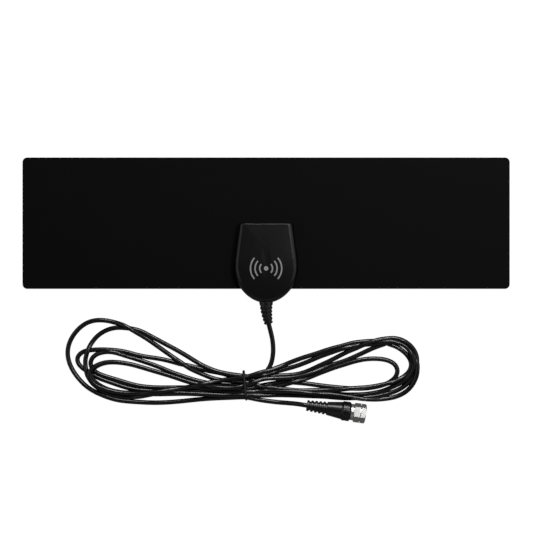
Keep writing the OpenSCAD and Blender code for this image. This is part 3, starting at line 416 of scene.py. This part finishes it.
# each finish: the CAD pieces that have it, and its look
finishes = {
    # polyester film printed matte: an even, deep black that mirrors next to nothing
    "PET film, matte black": ("panel_front_film panel_rear_film", {
        "colours": ("050505", "060606"), "mottle": 40, "grain": 0.35, "height": 0.006,
        "rough": (0.55, 0.6), "more": {"IOR": 1.57, "Specular IOR Level": 0.05}}),
    # a dull dark line at the panel's edge
    "acrylic adhesive": ("panel_glue", {
        "colours": ("151514", "1b1a18"), "mottle": 6, "grain": 0.5, "height": 0.01,
        "rough": (0.4, 0.5), "more": {"IOR": 1.47}}),
    # bright, with fine rolling lines along the strip
    "rolled aluminium foil": ("foil_left foil_right", {
        "colours": ("c9cacc", "d4d5d6"), "mottle": 8, "grain": 0.3, "height": 0.003,
        "rough": (0.22, 0.34), "metallic": 1.0, "stretch": (1, 0.05, 1)}),
    # moulded in a finely spark-eroded tool: black, with a soft sheen on the crown and the bevels
    "moulded ABS, fine texture": ("housing_front housing_rear", {
        "colours": ("030303", "040404"), "mottle": 9, "grain": 0.32, "height": 0.0012,
        "rough": (0.25, 0.27), "more": {"IOR": 1.53}}),
    # dark heads with a dim metal glint
    "black-oxide steel": ("housing_screws", {
        "colours": ("2a2a2c", "38383a"), "mottle": 1.2, "grain": 0.1, "height": 0.004,
        "rough": (0.35, 0.5), "metallic": 1.0}),
    # a glossy green, slightly uneven over the copper
    "FR-4 with green solder mask": ("circuit_board", {
        "colours": ("12542c", "17663a"), "mottle": 2.5, "grain": 0.25, "height": 0.004,
        "rough": (0.25, 0.33), "more": {"IOR": 1.55}}),
    # warm yellow metal with turning marks
    "brass": ("feed_spacers feed_rivets plug_pin", {
        "colours": ("c9a258", "d6b26a"), "mottle": 1.5, "grain": 0.12, "height": 0.002,
        "rough": (0.2, 0.3), "metallic": 1.0}),
    # a dry, dark grey stone
    "sintered ferrite": ("balun_core", {
        "colours": ("2c2c2f", "3a3a3d"), "mottle": 0.8, "grain": 0.12, "height": 0.01,
        "rough": (0.5, 0.65)}),
    # a red-brown gloss along the wire
    "enamelled copper": ("balun_winding", {
        "colours": ("a34a20", "b65b2c"), "mottle": 1, "grain": 0.1, "height": 0.002,
        "rough": (0.2, 0.28), "metallic": 1.0}),
    # small tan blocks with a slight sheen
    "fired ceramic": ("chip_parts", {
        "colours": ("b9a384", "cdb998"), "mottle": 0.6, "grain": 0.08, "height": 0.003,
        "rough": (0.35, 0.5)}),
    # bright beads, a little clouded
    "tin solder": ("solder_joints", {
        "colours": ("b9bbbd", "cfd0d2"), "mottle": 0.7, "grain": 0.1, "height": 0.003,
        "rough": (0.2, 0.35), "metallic": 1.0}),
    # the jacket's black, dulled where it was cut
    "PVC jacket end": ("cable_jacket_end", {
        "colours": ("0f0f10", "151516"), "mottle": 4, "grain": 0.3, "height": 0.006,
        "rough": (0.38, 0.46), "more": {"IOR": 1.54}}),
    # grey metal that glitters as the wires cross, drawn coarser than they are
    "tinned copper braid": ("cable_braid_end", {
        "colours": ("9c9a97", "c9c7c3"), "mottle": 0.25, "grain": 0.15, "height": 0.05,
        "rough": (0.25, 0.4), "metallic": 1.0}),
    # a soft, waxy white
    "foamed polyethylene": ("cable_core_end plug_insulator", {
        "colours": ("e9e8e4", "f2f1ee"), "mottle": 1.5, "grain": 0.15, "height": 0.006,
        "rough": (0.4, 0.5), "more": {"IOR": 1.51}}),
    # a clean pink-orange wire
    "bare copper wire": ("cable_wire_end", {
        "colours": ("c47b4c", "d68c5c"), "mottle": 0.8, "grain": 0.06, "height": 0.001,
        "rough": (0.18, 0.28), "metallic": 1.0}),
    # rubbery black whose ribs and collar take narrow, soft lights
    "moulded soft PVC": ("strain_relief plug_boot", {
        "colours": ("050505", "070707"), "mottle": 5, "grain": 0.28, "height": 0.002,
        "rough": (0.29, 0.33), "more": {"IOR": 1.54}}),
    # black, duller than the cable that it holds
    "polyethylene-coated tie wire": ("cable_tie", {
        "colours": ("040404", "060606"), "mottle": 3, "grain": 0.2, "height": 0.003,
        "rough": (0.35, 0.42), "more": {"IOR": 1.51}}),
    # a turned nut under bright nickel: facets go from near white to grey, with soft edges
    "nickel-plated brass": ("plug_nut plug_post", {
        "colours": ("bcbcbb", "c8c8c7"), "mottle": 5, "grain": 0.6, "height": 0.0003,
        "rough": (0.24, 0.28), "metallic": 0.85}),
}
for name, (targets, look) in finishes.items():
    stuff = surface(name, look)
    for target in targets.split():
        slots = nodes[target].data.materials
        slots.clear()
        slots.append(stuff)
print("every CAD piece has its finish")


# The jacket's numbers of draw lines and waves are per metre, along the cable and round it.
jacket = {
    "colours": ("050505", "080808"), "rough": (0.22, 0.26),
    "drawLines": (60, 3500, 1), "strength": 0.03, "height": 0.004,
    "waves": (160, 160, 1),
    "more": {"IOR": 1.52},
}


def jacketFinish(name):
    # Extruded soft PVC: black, with a thin light along each strand. Its faint draw lines and slow
    # waves follow the cable's own map.
    stuff = bpy.data.materials.new(name)
    tree = emptyTree(stuff)
    own = addNode(tree, "ShaderNodeUVMap", {"uv_map": "UVMap"})
    noises = []
    for scale in (jacket["waves"], jacket["drawLines"]):
        place = addNode(tree, "ShaderNodeMapping", {"Scale": scale}, {"Vector": own.outputs[0]})
        noises.append(addNode(tree, "ShaderNodeTexNoise", {"Scale": 1.0, "Detail": 2},
                              {"Vector": place.outputs[0]}))
    shade(tree, jacket, *noises)
    return stuff


coaxCable.data.materials.append(jacketFinish("extruded PVC jacket"))
print("cable has its jacket")


# a generic sign of radio waves on the housing's face, a dot between arcs, in mm and degrees;
# its middle is measured from the housing's middle and from its cable end
sign = {
    "middle": (0.0, 23.3),
    "dot": 1.5,
    "arcs": (4.3, 7.4, 10.5),
    "halfAngle": 42,
    "line": 0.95,
    "proud": 0.03,
    "spokes": 40,
    "acrossLine": 3,
}
# the crown of the housing's front face, as part.scad has it
crown = {"tipY": -49.2, "top": 14.4, "drop": 2.0, "dropFrom": 32.0, "sideDrop": 0.5, "half": 21.8}


def faceHeight(x, y):
    # top less a square-law fall towards the cable end, less a square-law fall to the sides
    return (crown["top"] - crown["drop"] * np.maximum(0, 1 - y / crown["dropFrom"]) ** 2
            - crown["sideDrop"] * (x / crown["half"]) ** 2)


def printedSign():
    # The dot is a ring of triangles round its middle, and each arc is a strip of a polar grid,
    # angle by radius. All of it is laid on the crowned face and stands as proud of it as an ink.
    spokes = np.arange(sign["spokes"])
    around = (spokes + 1) % sign["spokes"]
    halfAngle = math.radians(sign["halfAngle"])
    radii = [np.zeros(1), np.full(len(spokes), sign["dot"])]
    angles = [np.zeros(1), spokes / len(spokes) * 2 * math.pi]
    faces = [np.stack([0 * spokes, spokes + 1, around + 1], -1)]
    first = len(spokes) + 1
    for middle in sign["arcs"]:
        inner, outer = middle - sign["line"] / 2, middle + sign["line"] / 2
        for turn in (0, math.pi):
            radius = np.linspace(inner, outer, sign["acrossLine"])
            angle = np.linspace(turn - halfAngle, turn + halfAngle, len(spokes))
            radii.append(np.tile(radius, len(angle)))
            angles.append(np.repeat(angle, len(radius)))
            faces.append(gridFaces(len(angle), len(radius), first=first))
            first += len(angle) * len(radius)
    r, a = np.concatenate(radii), np.concatenate(angles)
    x = sign["middle"][0] + r * np.cos(a)
    y = sign["middle"][1] + r * np.sin(a)
    z = faceHeight(x, y) + sign["proud"]
    return meshPiece("wavesSign", np.column_stack([x, y + crown["tipY"], z]) * mm, faces)


wavesSign = printedSign()
# a flat mid grey, slightly uneven as pad printing is
wavesSign.data.materials.append(surface("pad-printed grey ink", {
    "colours": ("858585", "929292"), "mottle": 0.8, "grain": 0.25, "height": 0.004,
    "rough": (0.5, 0.6)}))
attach(wavesSign, "antenna")
print("sign is on the housing")


def softbox(name, place, aim, size, watts):
    # a rectangular lamp that faces its aim; size is across and up, in metres
    lamp = bpy.data.lights.new(name, "AREA")
    lamp.shape = "RECTANGLE"
    lamp.size, lamp.size_y = size
    lamp.energy = watts
    box = bpy.data.objects.new(name, lamp)
    bpy.context.scene.collection.objects.link(box)
    box.location = place
    box.rotation_euler = (Vector(aim) - Vector(place)).to_track_quat("-Z", "Y").to_euler()


# the thin light along the strands and along the housing's far edge
softbox("farSoftbox", (0.12, 0.92, 0.78), (0, -0.06, 0), (0.5, 0.2), 9.5)
# the sheen on the housing's crown and the bright facet of the nut
softbox("overheadSoftbox", (0.38, 0.31, 1.1), (0, -0.06, 0), (0.14, 0.14), 3.2)
# the broad, dim lights in the housing's side bevels
softbox("rightSoftbox", (0.95, 0.05, 0.62), (0, -0.03, 0), (1.2, 1.2), 2.2)
softbox("leftSoftbox", (-0.95, 0.05, 0.62), (0, -0.03, 0), (1.2, 1.2), 2.0)
# a little light on the sides that face the near edge
softbox("nearSoftbox", (0.0, -0.95, 0.62), (0, -0.05, 0), (1.4, 1.0), 0.8)

# the camera sees white where nothing stands, and the pieces get only the ambient part of it
dome = {"ambient": 0.05, "seenExtra": 0.95}
world = bpy.data.worlds.new("studio")
bpy.context.scene.world = world
sky = emptyTree(world)
ray = addNode(sky, "ShaderNodeLightPath")
level = addNode(sky, "ShaderNodeMath", {
    "operation": "MULTIPLY_ADD", 1: dome["seenExtra"], 2: dome["ambient"]}, {0: ray.outputs["Is Camera Ray"]})
backdrop = addNode(sky, "ShaderNodeBackground", {"Color": linear("ffffff")}, {"Strength": level.outputs[0]})
addNode(sky, "ShaderNodeOutputWorld", links={"Surface": backdrop.outputs[0]})

# The table glows by itself, much for the camera and little for what mirrors it, and its chalky
# surface takes the lamps' light and the shadows. Lengths are in metres.
table = {"half": 2.0, "below": 0.0001, "seenGlow": 0.91, "mirroredGlow": 0.07, "chalk": "505050"}
corners = np.array([[-1, -1, 0], [1, -1, 0], [1, 1, 0], [-1, 1, 0]])
floor = meshPiece("whiteTable", corners * table["half"] - [0, 0, table["below"]], [[[0, 1, 2, 3]]],
                  smooth=False)
paper = bpy.data.materials.new("white paper sweep")
tree = emptyTree(paper)
path = addNode(tree, "ShaderNodeLightPath")
seen = addNode(tree, "ShaderNodeMath", {"operation": "MAXIMUM"}, {
    0: path.outputs["Is Camera Ray"], 1: path.outputs["Is Glossy Ray"]})
seenThrough = addNode(tree, "ShaderNodeMath", {"operation": "MAXIMUM"}, {
    0: seen.outputs[0], 1: path.outputs["Is Transmission Ray"]})
faint = addNode(tree, "ShaderNodeMath", {"operation": "MULTIPLY", 1: table["mirroredGlow"]}, {
    0: seenThrough.outputs[0]})
total = addNode(tree, "ShaderNodeMath", {"operation": "MULTIPLY_ADD", 1: table["seenGlow"]}, {
    0: path.outputs["Is Camera Ray"], 2: faint.outputs[0]})
glow = addNode(tree, "ShaderNodeEmission", {"Color": linear("ffffff")}, {"Strength": total.outputs[0]})
chalk = addNode(tree, "ShaderNodeBsdfDiffuse", {"Color": linear(table["chalk"])})
both = addNode(tree, "ShaderNodeAddShader", links={0: glow.outputs[0], 1: chalk.outputs[0]})
addNode(tree, "ShaderNodeOutputMaterial", links={"Surface": both.outputs[0]})
floor.data.materials.append(paper)

bpy.context.scene.view_settings.view_transform = "Standard"
print("lights and table are in place")
